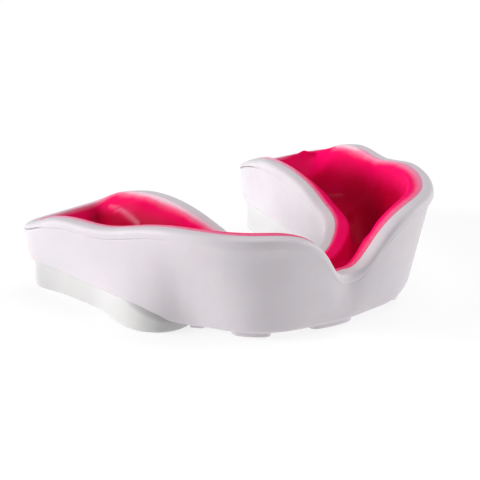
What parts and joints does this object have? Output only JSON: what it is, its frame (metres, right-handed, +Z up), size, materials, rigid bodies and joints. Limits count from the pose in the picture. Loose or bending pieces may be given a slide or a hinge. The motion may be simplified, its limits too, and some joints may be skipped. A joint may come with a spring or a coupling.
{
  "type": "mouthguard",
  "caption": "U-shaped boil-and-bite mouthguard: firm outer shell with a rolled collar and a lip notch, a soft gel liner forming the tooth channel, and bite pads underneath.",
  "frame": {"origin": "middle of the base, on the surface the mouthguard stands on", "axes": "+X across the arch, to the right as seen from the front; names ending in _left are on the -X side; -Y towards the lips, +Y towards the molars, +Z up towards the gums"},
  "size_m": [0.064, 0.0484, 0.0181],
  "materials": {
    "shell_white": "satin, slightly translucent",
    "gel_pink": "soft gloss gel",
    "pad_white": "satin"
  },
  "bodies": {
    "root": {"outer_shell": "shell_white", "gel_liner": "gel_pink", "bite_pad_left": "pad_white", "bite_pad_right": "pad_white", "front_pad_center": "pad_white", "front_pad_left": "pad_white", "front_pad_right": "pad_white", "side_stud_left": "pad_white", "side_stud_right": "pad_white"}
  },
  "joints": []
}
